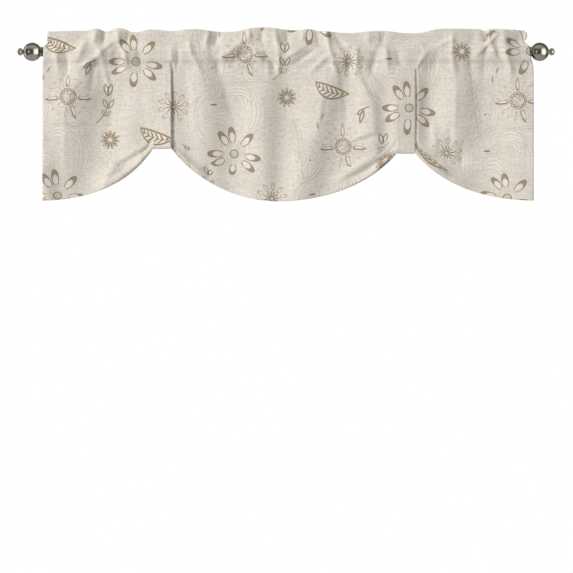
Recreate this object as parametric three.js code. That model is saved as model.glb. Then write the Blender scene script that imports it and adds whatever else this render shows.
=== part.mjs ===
// A tie-up valance hung on a curtain rod with ball finials.
// One printed panel is folded over at the top into a heading and a rod pocket. Two tie straps are sewn
// into the pocket's lower seam. Each runs down the front, under the cloth and up the back, and so lifts
// the lower edge into a scallop between two tails.
// Millimetres. The origin is on the rod's axis, halfway along it. +X is right, -Y the front and +Z up.
import * as THREE from "three";

// Rod and finials
const ROD_DIAMETER = 25;
const ROD_LENGTH = 1310;
const ROD_SIDES = 32;
const BALL_RADIUS = 24.6;
const BALL_CENTRE = 25;
const COLLAR_RADIUS = 13.2;
const COLLAR_LENGTH = 2.3;
const NECK_RADIUS = 11.6;
const KNOB_RADIUS = 9.8;
const KNOB_HALF_LENGTH = 7.8;
const KNOB_CENTRE = 57.2;
const KNOB_NECK_RADIUS = 5.4;
const NECK_FLARE = 0.8;
const FINIAL_SIDES = 28;
const BALL_STEPS = 14;
const KNOB_STEPS = 8;
const SEAT_GAP = 0.3;

// Cloth panel
const CLOTH = 1.6;
const LEFT_EDGE = -652;
const RIGHT_EDGE = 663;
const HEADING_LEFT = -642;
const HEADING_RIGHT = 644;
const POCKET_LEFT = -650;
const POCKET_RIGHT = 653.5;
const END_PULL = 130;
const PULL_BLEND = 12;
const HEADING_LAYERS = CLOTH + 0.6;
const POCKET_CLEARANCE = 0.8;
const HEADING_FOOT = 13.8;
const HEADING_FORWARD = 7.6;
const SEAM_LEFT = -38;
const SEAM_RIGHT = -48;
const SEAM_ALLOWANCE = 6;
const SEAM_LAYERS = CLOTH + 0.3;
const HEM_LOW = -399;
const SWAG_LOW_X = -21;
const SWAG_LOW = -401;
const HEM = 22;
const PRESSED_RADIUS = 1.3;
const ROLL_RADIUS = 11;
const ROLL_SPREAD = 70;
const LAYER_GAP = CLOTH + 1;

// Tie straps, each with its middle and its lowest point.
// The cloth is pressed flat under a strap and a little past its sides.
const STRAP_THICK = 1.8;
const STRAP_WIDTH = 45;
const STRAP_PRESS = STRAP_WIDTH / 2 + 1.5;
const STRAP_PLANE = 7;
const STRAP_ROLL = 3;
const SQUEEZE = 38;
const STRAPS = [
  { name: "tie_strap_left", x: -329, low: -260.5 },
  { name: "tie_strap_right", x: 323, low: -273.5 },
];

// The heading's upper edge at its crests and dips: its height over the rod's axis and its lean forward.
const HEADING = [
  { x: -652, rise: 54, lean: 0 },
  { x: -579, rise: 57, lean: 1 },
  { x: -507, rise: 62, lean: 4 },
  { x: -482, rise: 55, lean: -3 },
  { x: -450, rise: 64, lean: 4 },
  { x: -402, rise: 54, lean: -2 },
  { x: -364, rise: 61, lean: 2 },
  { x: -306, rise: 56, lean: -2 },
  { x: -252, rise: 62, lean: 3 },
  { x: -161, rise: 53, lean: -4 },
  { x: -64, rise: 66, lean: 4 },
  { x: 32, rise: 57, lean: -2 },
  { x: 59, rise: 61, lean: 3 },
  { x: 169, rise: 50, lean: -4 },
  { x: 247, rise: 56, lean: 2 },
  { x: 338, rise: 50, lean: -4 },
  { x: 429, rise: 64, lean: 4 },
  { x: 515, rise: 61, lean: 0 },
  { x: 531, rise: 56, lean: -3 },
  { x: 552, rise: 61, lean: 3 },
  { x: 614, rise: 61, lean: 1 },
  { x: 663, rise: 52, lean: -2 },
];

// Fold lines, left to right, each a ridge or a trough that runs from the pocket down to the hem.
// xTop, xMid and xLow are where the line passes at the three levels. deep is how far it stands in front
// of the rod's plane at the middle level, and deepLow at the hem.
const FOLD_LEVELS = { top: -40, mid: -143, low: -390 };
const TOP_SHARE = 0.45;
const FOLDS = [
  { xTop: -652, xMid: -652, xLow: -652, deep: 3, deepLow: 6 },
  { xTop: -521, xMid: -557, xLow: -630, deep: 15, deepLow: 11 },
  { xTop: -498, xMid: -476, xLow: -500, deep: -9, deepLow: -4 },
  { xTop: -423, xMid: -413, xLow: -405, deep: 9, deepLow: 9 },
  { xTop: -287, xMid: -285, xLow: -284, deep: -4, deepLow: 0 },
  { xTop: -217, xMid: -220, xLow: -190, deep: 13, deepLow: 11 },
  { xTop: -182, xMid: -145, xLow: -128, deep: -7, deepLow: 3 },
  { xTop: -54, xMid: -56, xLow: -44, deep: 12, deepLow: 9 },
  { xTop: -3, xMid: -5, xLow: -16, deep: -5, deepLow: 0 },
  { xTop: 137, xMid: 99, xLow: 59, deep: 13, deepLow: 10 },
  { xTop: 163, xMid: 158, xLow: 105, deep: -7, deepLow: -2 },
  { xTop: 198, xMid: 226, xLow: 248, deep: 11, deepLow: 11 },
  { xTop: 232, xMid: 262, xLow: 276, deep: 0, deepLow: 5 },
  { xTop: 392, xMid: 390, xLow: 386, deep: -9, deepLow: -3 },
  { xTop: 461, xMid: 466, xLow: 434, deep: 10, deepLow: 8 },
  { xTop: 506, xMid: 520, xLow: 504, deep: -5, deepLow: 0 },
  { xTop: 663, xMid: 663, xLow: 663, deep: 6, deepLow: 6 },
];

// Scallops, each from its low end to one side of a strap.
// round and steep are the shares of its rise that grow with the square and with the sixth power of the way.
const [LEFT_STRAP, RIGHT_STRAP] = STRAPS;
const SCALLOPS = [
  { lowX: LEFT_EDGE, low: HEM_LOW, strap: LEFT_STRAP, side: -1, round: 0.7, steep: 0.3 },
  { lowX: SWAG_LOW_X, low: SWAG_LOW, strap: LEFT_STRAP, side: 1, round: 0.85, steep: 0.15 },
  { lowX: SWAG_LOW_X, low: SWAG_LOW, strap: RIGHT_STRAP, side: -1, round: 0.78, steep: 0.22 },
  { lowX: RIGHT_EDGE, low: HEM_LOW, strap: RIGHT_STRAP, side: 1, round: 0.75, steep: 0.25 },
];

// How finely the sections and stations are divided
const TAIL_STEPS = 15;
const STRAP_STEPS = 2;
const SWAG_STEPS = 29;
const LEG_ROWS = 9;
const BACK_ROWS = 4;
const ROLL_ARCS = 4;
const FRONT_ANGLES = [-19, 10, 38];
const BACK_ANGLES = [90, 120, 150, 180, 199];

const lerp = THREE.MathUtils.lerp;
const smooth = THREE.MathUtils.smoothstep;
const clamp = THREE.MathUtils.clamp;
const clothUnderStrap = (strap) => strap.low + STRAP_THICK + SEAT_GAP;

// A half cosine wave from a to b as share goes from 0 to 1.
function halfWave(a, b, share) {
  return lerp(a, b, (1 - Math.cos(Math.PI * share)) / 2);
}

// The index of the last row whose position is at or before x, short of the final row.
function rowBefore(positions, x) {
  let index = 0;
  while (index < positions.length - 2 && positions[index + 1] <= x) index += 1;
  return index;
}

// One column of the heading table, carried between its rows in half waves.
function heading(x, column) {
  const positions = HEADING.map((row) => row.x);
  const i = rowBefore(positions, x);
  const share = THREE.MathUtils.inverseLerp(positions[i], positions[i + 1], x);
  return halfWave(HEADING[i][column], HEADING[i + 1][column], clamp(share, 0, 1));
}

// Where a fold line is at height z, and how far forward it stands there.
function foldLine(row, z) {
  const { top, mid, low } = FOLD_LEVELS;
  if (z >= mid) {
    const share = smooth(z, mid, top);
    return { x: lerp(row.xMid, row.xTop, share), deep: lerp(row.deep, row.deep * TOP_SHARE, share) };
  }
  const share = clamp((mid - z) / (mid - low), 0, 1);
  return { x: lerp(row.xMid, row.xLow, share), deep: lerp(row.deep, row.deepLow, share) };
}

// The fold lines with two more for each strap, along the sides of the flat stretch under it.
function allFoldLines() {
  const pressed = STRAPS.flatMap((strap) => [strap.x - STRAP_PRESS, strap.x + STRAP_PRESS]).map((x) => {
    return { xTop: x, xMid: x, xLow: x, deep: STRAP_PLANE, deepLow: STRAP_PLANE };
  });
  return [...FOLDS, ...pressed].sort((a, b) => a.xMid - b.xMid);
}
const FOLD_LINES = allFoldLines();

// How far the hanging cloth stands in front of the rod's plane, in half waves from one fold line to the next.
function foldDepth(x, z) {
  const lines = FOLD_LINES.map((row) => foldLine(row, z));
  const i = rowBefore(lines.map((line) => line.x), x);
  const share = THREE.MathUtils.inverseLerp(lines[i].x, lines[i + 1].x, x);
  return halfWave(lines[i].deep, lines[i + 1].deep, clamp(share, 0, 1));
}

// The scallop over x: its lowest height, its height at the strap and the share of the lift reached at x.
function lift(x) {
  const scallop = SCALLOPS.find(({ lowX, strap }) => (x - lowX) * (x - strap.x) <= 0);
  const { lowX, low, strap, side, round, steep } = scallop;
  const way = THREE.MathUtils.inverseLerp(lowX, strap.x + side * STRAP_PRESS, x);
  const t = clamp(way, 0, 1);
  return { low, high: clothUnderStrap(strap), share: round * t ** 2 + steep * t ** 6 };
}

// The lower edge's roll: pressed flat where the hem hangs free, full beside a strap and squeezed under it.
function rollRadius(x, share) {
  const free = lerp(PRESSED_RADIUS, ROLL_RADIUS, smooth(share, 0.05, 0.7));
  const reach = Math.min(...STRAPS.map((strap) => Math.abs(x - strap.x)));
  return lerp(STRAP_ROLL, free, smooth(reach, STRAP_PRESS, STRAP_PRESS + SQUEEZE));
}

// Everything that one vertical section of the cloth needs.
function sectionShape(x) {
  const { low, high, share } = lift(x);
  const edge = lerp(low, high, share);
  const radius = rollRadius(x, share);
  const rollCentre = edge + CLOTH / 2 + radius;
  const hemTop = rollCentre + HEM + (edge - low);
  const seam = lerp(SEAM_LEFT, SEAM_RIGHT, (x - LEFT_EDGE) / (RIGHT_EDGE - LEFT_EDGE));
  const settle = (z) => smooth(z, rollCentre, rollCentre + ROLL_SPREAD);
  const front = (z) => foldDepth(x, z) + radius * (1 - settle(z));
  const back = (z) => foldDepth(x, z) - lerp(radius, LAYER_GAP, settle(z));
  return { x, radius, rollCentre, hemTop, seam, front, back };
}

// How far a level is drawn in at the panel's two ends.
function drawnIn(x, z) {
  const rod = ROD_DIAMETER / 2;
  const up = smooth(z, rod, rod + PULL_BLEND);
  const held = smooth(z, SEAM_RIGHT, 0);
  const left = lerp(lerp(0, POCKET_LEFT - LEFT_EDGE, held), HEADING_LEFT - LEFT_EDGE, up);
  const right = lerp(lerp(0, POCKET_RIGHT - RIGHT_EDGE, held), HEADING_RIGHT - RIGHT_EDGE, up);
  const nearLeft = 1 - smooth(x, LEFT_EDGE, LEFT_EDGE + END_PULL);
  const nearRight = smooth(x, RIGHT_EDGE - END_PULL, RIGHT_EDGE);
  return x + left * nearLeft + right * nearRight;
}

// Rows from one value to another, both ends included.
function rows(from, to, count) {
  return Array.from({ length: count + 1 }, (_, i) => lerp(from, to, i / count));
}

// Points of the half circle between a roll's two legs, from the back to the front, ends left out.
function rollArc(shape, radius) {
  const middle = (shape.front(shape.rollCentre) + shape.back(shape.rollCentre)) / 2;
  return rows(Math.PI, 0, ROLL_ARCS)
    .slice(1, -1)
    .map((angle) => [middle + radius * Math.cos(angle), shape.rollCentre - radius * Math.sin(angle)]);
}

// The pocket's front or back wall: its points round the rod, at angles from straight forward, and one
// more halfway between the lowest of them and the seam.
function pocketWall(seamDepth, seam, angles) {
  const radius = ROD_DIAMETER / 2 + POCKET_CLEARANCE + CLOTH / 2;
  const ring = angles.map((degrees) => {
    const angle = THREE.MathUtils.degToRad(degrees);
    return [radius * Math.cos(angle), radius * Math.sin(angle)];
  });
  const lowest = ring.reduce((low, point) => (point[1] < low[1] ? point : low));
  return { ring, between: [lerp(seamDepth, lowest[0], 0.5), lerp(seam, lowest[1], 0.5)] };
}

// The middle of the cloth at one station, as [depth, height]: from the hem's free end down the back,
// round the roll, up the front, over the heading and down the back of the pocket to its seam.
function clothPath(shape) {
  const { x, radius, rollCentre, hemTop, seam, front, back } = shape;
  const top = heading(x, "rise") - CLOTH / 2;
  const lean = heading(x, "lean");
  const half = HEADING_LAYERS / 2;
  const leaning = (z) => HEADING_FORWARD + (lean * (z - HEADING_FOOT)) / (top - HEADING_FOOT);
  const headingRows = rows(HEADING_FOOT, top - half, 2);
  const backSeam = seam - SEAM_ALLOWANCE;
  const frontWall = pocketWall(front(seam), seam, FRONT_ANGLES);
  const backWall = pocketWall(front(seam) - SEAM_LAYERS, seam, BACK_ANGLES);
  return [
    ...rows(hemTop, rollCentre, BACK_ROWS).map((z) => [back(z), z]),
    ...rollArc(shape, radius),
    ...[...rows(rollCentre, backSeam, LEG_ROWS - 1), seam].map((z) => [front(z), z]),
    frontWall.between,
    ...frontWall.ring,
    ...headingRows.map((z) => [leaning(z) + half, z]),
    [leaning(top), top],
    ...headingRows.map((z) => [leaning(z) - half, z]).reverse(),
    ...backWall.ring,
    backWall.between,
    [front(seam) - SEAM_LAYERS, seam],
    [front(backSeam) - SEAM_LAYERS, backSeam],
  ];
}

// Both faces of a strip whose middle is path, each set off square to it by half the thickness.
function strip(path, thick) {
  const offset = (side) =>
    path.map(([depth, z], i) => {
      const before = path[Math.max(i - 1, 0)];
      const after = path[Math.min(i + 1, path.length - 1)];
      const run = new THREE.Vector2(after[0] - before[0], after[1] - before[1]).setLength((side * thick) / 2);
      return [depth + run.y, z - run.x];
    });
  return [...offset(1), ...offset(-1).reverse()];
}

// A closed solid through strip sections, each an outline of as many [x, depth, height] points.
// Every square is split from its lower near corner to its upper far one, so the strip's faces stay apart.
function loft(sections) {
  const count = sections[0].length;
  const faces = [];
  const addQuad = (a, b, c, d) => faces.push([a, b, c], [a, c, d]);
  for (let s = 0; s < sections.length - 1; s += 1) {
    const [near, far] = [s * count, (s + 1) * count];
    for (let i = 0; i < count; i += 1) {
      const next = (i + 1) % count;
      const rising = sections[s][next][2] > sections[s][i][2];
      if (rising) addQuad(near + i, far + i, far + next, near + next);
      else addQuad(near + next, near + i, far + i, far + next);
    }
  }
  const last = (sections.length - 1) * count;
  for (let i = 0; i < count / 2 - 1; i += 1) {
    const across = count - 1 - i;
    addQuad(i, i + 1, across - 1, across);
    addQuad(last + across, last + across - 1, last + i + 1, last + i);
  }
  const geometry = new THREE.BufferGeometry();
  const positions = sections.flat().flatMap(([x, depth, z]) => [x, -depth, z]);
  geometry.setAttribute("position", new THREE.Float32BufferAttribute(positions, 3));
  geometry.setIndex(faces.flat());
  geometry.computeVertexNormals();
  return geometry;
}

// Stations along the panel, closer where a strap holds it.
function stations() {
  const [left, right] = STRAPS.map((strap) => strap.x);
  return [
    ...rows(LEFT_EDGE, left - STRAP_PRESS, TAIL_STEPS),
    ...rows(left - STRAP_PRESS, left + STRAP_PRESS, STRAP_STEPS).slice(1),
    ...rows(left + STRAP_PRESS, right - STRAP_PRESS, SWAG_STEPS).slice(1),
    ...rows(right - STRAP_PRESS, right + STRAP_PRESS, STRAP_STEPS).slice(1),
    ...rows(right + STRAP_PRESS, RIGHT_EDGE, TAIL_STEPS).slice(1),
  ];
}

function valancePanel() {
  return loft(
    stations().map((x) => {
      const outline = strip(clothPath(sectionShape(x)), CLOTH);
      return outline.map(([depth, z]) => [drawnIn(x, z), depth, z]);
    }),
  );
}

// A strap's band: from the pocket's seam down the back of the cloth, round its roll and up the front.
function tieStrap(strap) {
  const shape = sectionShape(strap.x);
  const { rollCentre, radius, front, back, seam } = shape;
  const off = (CLOTH + STRAP_THICK) / 2 + SEAT_GAP;
  const backSeam = seam - SEAM_ALLOWANCE;
  const seamBack = front(backSeam) - SEAM_LAYERS - off;
  const path = [
    [seamBack, seam],
    [seamBack, backSeam],
    ...rows(backSeam, rollCentre, 2).slice(1).map((z) => [Math.min(seamBack, back(z) - off), z]),
    ...rollArc(shape, radius + off),
    ...rows(rollCentre, seam - 1, LEG_ROWS).map((z) => [front(z) + off, z]),
  ];
  const outline = strip(path, STRAP_THICK);
  const sides = [strap.x - STRAP_WIDTH / 2, strap.x + STRAP_WIDTH / 2];
  return loft(sides.map((x) => outline.map(([depth, z]) => [x, depth, z])));
}

// The rod, a plain tube shown solid, turned to lie along X.
function curtainRod() {
  const geometry = new THREE.CylinderGeometry(ROD_DIAMETER / 2, ROD_DIAMETER / 2, ROD_LENGTH, ROD_SIDES);
  return geometry.rotateZ(Math.PI / 2);
}

// Points on an arc of an ellipse about the finial's axis, as [radius, distance along the axis].
function bulge(centre, radius, halfLength, fromRadius, toRadius, count) {
  const start = -Math.acos(fromRadius / radius);
  const end = Math.acos(toRadius / radius);
  return rows(start, end, count).map((a) => [radius * Math.cos(a), centre + halfLength * Math.sin(a)]);
}

// A turned finial: collar, ball, neck and end knob, on an axis that runs out from the rod's end.
function finial() {
  const collarEnd = SEAT_GAP + COLLAR_LENGTH;
  const profile = [
    [0, SEAT_GAP],
    [COLLAR_RADIUS, SEAT_GAP],
    [COLLAR_RADIUS, collarEnd],
    ...bulge(BALL_CENTRE, BALL_RADIUS, BALL_RADIUS, NECK_RADIUS, KNOB_NECK_RADIUS + NECK_FLARE, BALL_STEPS),
    ...bulge(KNOB_CENTRE, KNOB_RADIUS, KNOB_HALF_LENGTH, KNOB_NECK_RADIUS, 0, KNOB_STEPS).slice(0, -1),
    [0, KNOB_CENTRE + KNOB_HALF_LENGTH],
  ];
  return new THREE.LatheGeometry(profile.map(([r, along]) => new THREE.Vector2(r, along)), FINIAL_SIDES);
}

const linen = new THREE.MeshStandardMaterial({ color: 0xe2dcd0, roughness: 0.9, metalness: 0 });
const strapLinen = new THREE.MeshStandardMaterial({ color: 0xdfd9cd, roughness: 0.9, metalness: 0 });
const pewter = new THREE.MeshStandardMaterial({ color: 0x6f675c, roughness: 0.3, metalness: 1 });
const rodMetal = new THREE.MeshStandardMaterial({ color: 0x5a534a, roughness: 0.35, metalness: 1 });

function piece(name, geometry, material) {
  const mesh = new THREE.Mesh(geometry, material);
  mesh.name = name;
  return mesh;
}

const valance = new THREE.Group();
valance.add(piece("valance_panel", valancePanel(), linen));
for (const strap of STRAPS) valance.add(piece(strap.name, tieStrap(strap), strapLinen));
valance.add(piece("curtain_rod", curtainRod(), rodMetal));
for (const [name, side] of [["finial_left", -1], ["finial_right", 1]]) {
  const end = piece(name, finial(), pewter);
  end.rotation.z = (-side * Math.PI) / 2;
  end.position.x = (side * ROD_LENGTH) / 2;
  valance.add(end);
}

export default valance;
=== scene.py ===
import math

import bpy
import numpy as np
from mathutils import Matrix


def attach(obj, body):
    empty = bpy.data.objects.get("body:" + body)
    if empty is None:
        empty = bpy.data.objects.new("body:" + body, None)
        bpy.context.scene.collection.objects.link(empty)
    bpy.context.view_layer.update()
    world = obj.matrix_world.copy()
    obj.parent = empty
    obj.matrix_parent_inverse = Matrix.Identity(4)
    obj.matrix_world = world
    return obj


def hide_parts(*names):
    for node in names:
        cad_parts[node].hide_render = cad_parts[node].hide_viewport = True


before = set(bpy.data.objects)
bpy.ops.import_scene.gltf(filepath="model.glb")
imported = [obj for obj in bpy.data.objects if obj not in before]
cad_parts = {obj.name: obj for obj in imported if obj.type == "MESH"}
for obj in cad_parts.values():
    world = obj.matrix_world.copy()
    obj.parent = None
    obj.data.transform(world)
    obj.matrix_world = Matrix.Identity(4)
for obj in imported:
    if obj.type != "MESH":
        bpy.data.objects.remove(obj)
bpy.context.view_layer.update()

scene = bpy.context.scene


# Camera
# A long lens held level straight in front of the valance, as in the photograph. That picture is square,
# 2.68 mm to a pixel, and the middle of the rod is at ROD_PIXEL in it.
MM = 0.001
PHOTO_SIDE = 573
MM_PER_PIXEL = 2.68
ROD_PIXEL = (286.0, 51.8)
CAMERA_AWAY = 16.0
SENSOR = 36.0

camera_lens = bpy.data.cameras.new("camera")
camera_lens.sensor_width = SENSOR
camera_lens.lens = SENSOR * CAMERA_AWAY / (PHOTO_SIDE * MM_PER_PIXEL * MM)
camera_lens.clip_end = 100.0
camera = bpy.data.objects.new("camera", camera_lens)
camera.location = (
    (PHOTO_SIDE / 2 - ROD_PIXEL[0]) * MM_PER_PIXEL * MM,
    -CAMERA_AWAY,
    (ROD_PIXEL[1] - PHOTO_SIDE / 2) * MM_PER_PIXEL * MM,
)
camera.rotation_euler = (math.pi / 2, 0, 0)
scene.collection.objects.link(camera)
scene.camera = camera
scene.view_settings.view_transform = "Standard"


# Studio light
# A pale room with one large soft lamp at the upper left. Polished metal also sees soft bright windows in a
# dim wall, a pale ceiling in front of the valance and a pale floor behind it.
ROOM_LIGHT = 0.35
ROOM_TINT = (0.97, 0.985, 1.0)
KEY_PLACE = (-12.8, -11.6, 5.8)
KEY_TARGET = (0.0, 0.0, -0.2)
KEY_SIDE = 5.2
KEY_WATTS = 2500.0
KEY_TINT = (1.0, 0.975, 0.94)
WINDOWS = [
    # bearing from straight in front, half width, half height, all in degrees, and brightness
    (54, 30, 32, 2.5),
    (-112, 14, 44, 1.4),
    (-42, 8, 9, 1.7),
]
PANE_SOFT = (0.4, 0.5)
WALL_LIGHT = 0.13
PALE_LIGHT = 0.62
DIM_LIGHT = 0.2
CEILING_FROM, GROUND_FROM = 38, -46
WALL_SOFT = 18


class Wire:
    """A shader socket. Arithmetic on wires adds Math nodes, and node adds a node of any other kind."""

    def __init__(self, tree, socket=None):
        self.tree = tree
        self.socket = socket

    def node(self, kind, settings=None, sockets=None, output=0):
        """A new node: its settings are set first, then its sockets take values or wires, by name or place."""
        made = self.tree.nodes.new("ShaderNode" + kind)
        for name, value in (settings or {}).items():
            setattr(made, name, value)
        for key, value in (sockets or {}).items():
            if isinstance(value, Wire):
                self.tree.links.new(value.socket, made.inputs[key])
            else:
                made.inputs[key].default_value = value
        return Wire(self.tree, made.outputs[output] if made.outputs else None)

    def other(self, name):
        """Another output of the node that this wire comes from."""
        return Wire(self.tree, self.socket.node.outputs[name])

    def math(self, operation, *values):
        return self.node("Math", {"operation": operation}, dict(enumerate((self, *values))))

    def vector(self, operation, value):
        output = "Value" if operation == "DOT_PRODUCT" else "Vector"
        return self.node("VectorMath", {"operation": operation}, {0: self, 1: value}, output)

    def blend(self, first, second):
        """The colour that goes from first to second as this wire goes from 0 to 1."""
        return self.node("Mix", {"data_type": "RGBA"}, {0: self, 6: first, 7: second}, 2)

    def under(self, limit, soft):
        """1 where this wire is under limit and 0 where it is over, with a smooth edge soft to each side."""
        edge = {0: self, 1: limit - soft, 2: limit + soft, 3: 1.0, 4: 0.0}
        return self.node("MapRange", {"interpolation_type": "SMOOTHSTEP"}, edge)

    def __add__(self, value):
        return self.math("ADD", value)

    def __sub__(self, value):
        return self.math("SUBTRACT", value)

    def __rsub__(self, value):
        return self.node("Math", {"operation": "SUBTRACT"}, {0: value, 1: self})

    def __mul__(self, value):
        return self.math("MULTIPLY", value)

    def __truediv__(self, value):
        return self.math("DIVIDE", value)

    def __or__(self, value):
        return self.math("MAXIMUM", value)

    def __abs__(self):
        return self.math("ABSOLUTE")

    __radd__ = __add__
    __rmul__ = __mul__


def room(world):
    """White to the camera, an even pale light to the cloth, and windows and a dim wall to polished metal."""
    wire = Wire(world.node_tree)
    way = wire.node("TexCoord", output="Generated")
    east = wire.node("SeparateXYZ", sockets={0: way})
    north, up = east.other("Y"), east.other("Z")
    bearing = east.math("ARCTAN2", 0 - north) * math.degrees(1)
    height = up.math("ARCSINE") * math.degrees(1)
    grey = lambda light: (light,) * 3 + (1,)
    in_front = north.under(0, 0.3)
    ceiling = in_front.blend(grey(DIM_LIGHT), grey(PALE_LIGHT))
    ground = in_front.blend(grey(PALE_LIGHT), grey(DIM_LIGHT))
    seen = height.under(CEILING_FROM, WALL_SOFT).blend(ceiling, grey(WALL_LIGHT))
    seen = height.under(GROUND_FROM, WALL_SOFT).blend(seen, ground)
    for middle, half_width, half_height, bright in WINDOWS:
        pane = abs(bearing - middle).under(half_width, half_width * PANE_SOFT[0])
        pane = pane * abs(height).under(half_height, half_height * PANE_SOFT[1])
        seen = pane.blend(seen, grey(bright))
    rays = wire.node("LightPath", output="Is Glossy Ray")
    even = tuple(ROOM_LIGHT * tint for tint in ROOM_TINT) + (1,)
    lit = rays.blend(even, seen)
    colour = rays.other("Is Camera Ray").blend(lit, (1, 1, 1, 1))
    background = wire.node("Background", sockets={"Color": colour, "Strength": 1.0})
    wire.node("OutputWorld", sockets={"Surface": background})


scene.world = bpy.data.worlds.new("studio")
scene.world.use_nodes = True
scene.world.node_tree.nodes.clear()
room(scene.world)

key_lamp = bpy.data.lights.new("key_lamp", "AREA")
key_lamp.size = KEY_SIDE
key_lamp.energy = KEY_WATTS
key_lamp.color = KEY_TINT
key = bpy.data.objects.new("key_lamp", key_lamp)
key.location = KEY_PLACE
key.visible_glossy = False
key.rotation_euler = (key.location - type(key.location)(KEY_TARGET)).to_track_quat("Z", "Y").to_euler()
scene.collection.objects.link(key)


# Floor
# A plain pale disc below the hanging valance, under the picture's lower edge. It fades out at its rim.
FLOOR_LEVEL = -1.6
FLOOR_RADIUS = 4.0
FLOOR_SIDES = 96
FLOOR_SOLID = 2.2
FLOOR_COLOUR = (0.86, 0.86, 0.85, 1)


def quads(rows, columns, close_columns=False):
    """Corner numbers of the squares of a grid, row by row, and round to the first column where it closes."""
    number = np.arange(rows * columns).reshape(rows, columns)
    after = np.roll(number, -1, axis=1)
    stop = columns if close_columns else columns - 1
    corners = [number[:-1], after[:-1], after[1:], number[1:]]
    return np.stack([corner[:, :stop].ravel() for corner in corners], axis=1)


def new_piece(name, points, faces, material):
    """A mesh object at the origin from an array of points and lists of corner numbers, shaded smooth."""
    mesh = bpy.data.meshes.new(name)
    mesh.from_pydata(points.reshape(-1, 3).tolist(), [], [list(face) for face in faces])
    mesh.polygons.foreach_set("use_smooth", np.ones(len(mesh.polygons), bool))
    mesh.materials.append(material)
    mesh.validate()
    piece = bpy.data.objects.new(name, mesh)
    scene.collection.objects.link(piece)
    return piece


def new_material(name):
    """An empty material and a wire into its node tree."""
    material = bpy.data.materials.new(name)
    material.use_nodes = True
    material.node_tree.nodes.clear()
    return material, Wire(material.node_tree)


def surface(wire, sockets):
    """A Principled surface with these values and wires, joined to the material's output."""
    shader = wire.node("BsdfPrincipled", sockets=sockets)
    wire.node("OutputMaterial", sockets={"Surface": shader})


floor_paint, wire = new_material("floor_paint")
place = wire.node("TexCoord", output="Object")
out = place.node("VectorMath", {"operation": "LENGTH"}, {0: place}, "Value")
middle_of_fade = (FLOOR_SOLID + FLOOR_RADIUS) / 2
half_fade = (FLOOR_RADIUS - FLOOR_SOLID) / 2
surface(wire, {
    "Base Color": FLOOR_COLOUR,
    "Roughness": 0.9,
    "Alpha": out.under(middle_of_fade, half_fade),
})
floor_round = np.linspace(0, 2 * np.pi, FLOOR_SIDES, endpoint=False)
floor_rim = FLOOR_RADIUS * np.stack([np.cos(floor_round), np.sin(floor_round), 0 * floor_round], axis=1)
floor_points = floor_rim + (0, 0, FLOOR_LEVEL)
floor = new_piece("floor", floor_points, [range(FLOOR_SIDES)], floor_paint)


# Curtain rod
# A straight steel tube with a dark brushed nickel finish, cut square and closed by the finials.
# The cloth's pocket hides it, apart from a sliver at each end. It lies along X through the origin.
ROD_RADIUS = 12.5
ROD_LENGTH = 1310
ROD_SIDES = 64
ROD_EDGE = 0.4
ROD_RINGS = 33
ROD_RINGS_IN = 20
ROD_ROUGHNESS = 0.36
CRISP_ANGLE = 35
TURNED_GRAIN = (2600, 90, 90)
ROD_COLOURS = ((0.17, 0.15, 0.125, 1), (0.27, 0.245, 0.21, 1))


def lathe(profile, sides):
    """A turned shape about X: each point of the profile, along the axis and out from it, goes round."""
    along, out = np.asarray(profile, float).T
    turn = np.linspace(0, 2 * np.pi, sides, endpoint=False)
    grid = np.empty((len(along), sides, 3))
    grid[..., 0] = along[:, None]
    grid[..., 1] = -out[:, None] * np.cos(turn)
    grid[..., 2] = out[:, None] * np.sin(turn)
    return grid


def turned_piece(name, profile, sides, material):
    """A closed turned piece whose profile starts and ends on the axis, with each pole merged to one point."""
    grid = lathe(profile, sides) * MM
    rings = grid[1:-1]
    last = 1 + rings.shape[0] * sides
    points = np.concatenate([grid[:1, 0], rings.reshape(-1, 3), grid[-1:, 0]])
    ring = np.arange(sides)
    after = np.roll(ring, -1)
    faces = (quads(rings.shape[0], sides, True)[:, ::-1] + 1).tolist()
    faces += np.stack([0 * ring, ring + 1, after + 1], axis=1).tolist()
    outer = last - sides
    faces += np.stack([0 * ring + last, after + outer, ring + outer], axis=1).tolist()
    piece = new_piece(name, points, faces, material)
    piece.data.set_sharp_from_angle(angle=math.radians(CRISP_ANGLE))
    return piece


def brushed_metal(name, colours, roughness):
    """Dark nickel: fine rings left by turning and a slow patchy tarnish, both read from the piece's place."""
    material, wire = new_material(name)
    place = wire.node("TexCoord", output="Object")
    stretched = place.vector("MULTIPLY", TURNED_GRAIN)
    rings = wire.node("TexNoise", sockets={"Vector": stretched, "Scale": 1.0, "Detail": 2.0})
    patches = wire.node("TexNoise", sockets={"Vector": place, "Scale": 90.0, "Detail": 4.0})
    tone = (patches * 0.7 + rings * 0.3 - 0.3) * 2.2
    bump = wire.node("Bump", sockets={"Strength": 0.06, "Distance": 0.0004, "Height": rings})
    surface(wire, {
        "Base Color": tone.math("MINIMUM", 1.0).blend(*colours),
        "Metallic": 1.0,
        "Roughness": patches * 0.16 + (roughness - 0.08),
        "Normal": bump,
    })
    return material


half_rod = ROD_LENGTH / 2
ring_places = np.linspace(-half_rod + ROD_RINGS_IN, half_rod - ROD_RINGS_IN, ROD_RINGS)
rod_profile = [
    (-half_rod, 0),
    (-half_rod, ROD_RADIUS - ROD_EDGE),
    (-half_rod + ROD_EDGE, ROD_RADIUS),
    *[(along, ROD_RADIUS) for along in ring_places],
    (half_rod - ROD_EDGE, ROD_RADIUS),
    (half_rod, ROD_RADIUS - ROD_EDGE),
    (half_rod, 0),
]
rod_nickel = brushed_metal("rod_nickel", ROD_COLOURS, ROD_ROUGHNESS)
rod = turned_piece("rod_tube", rod_profile, ROD_SIDES, rod_nickel)
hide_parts("curtain_rod")
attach(rod, "root")


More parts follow.
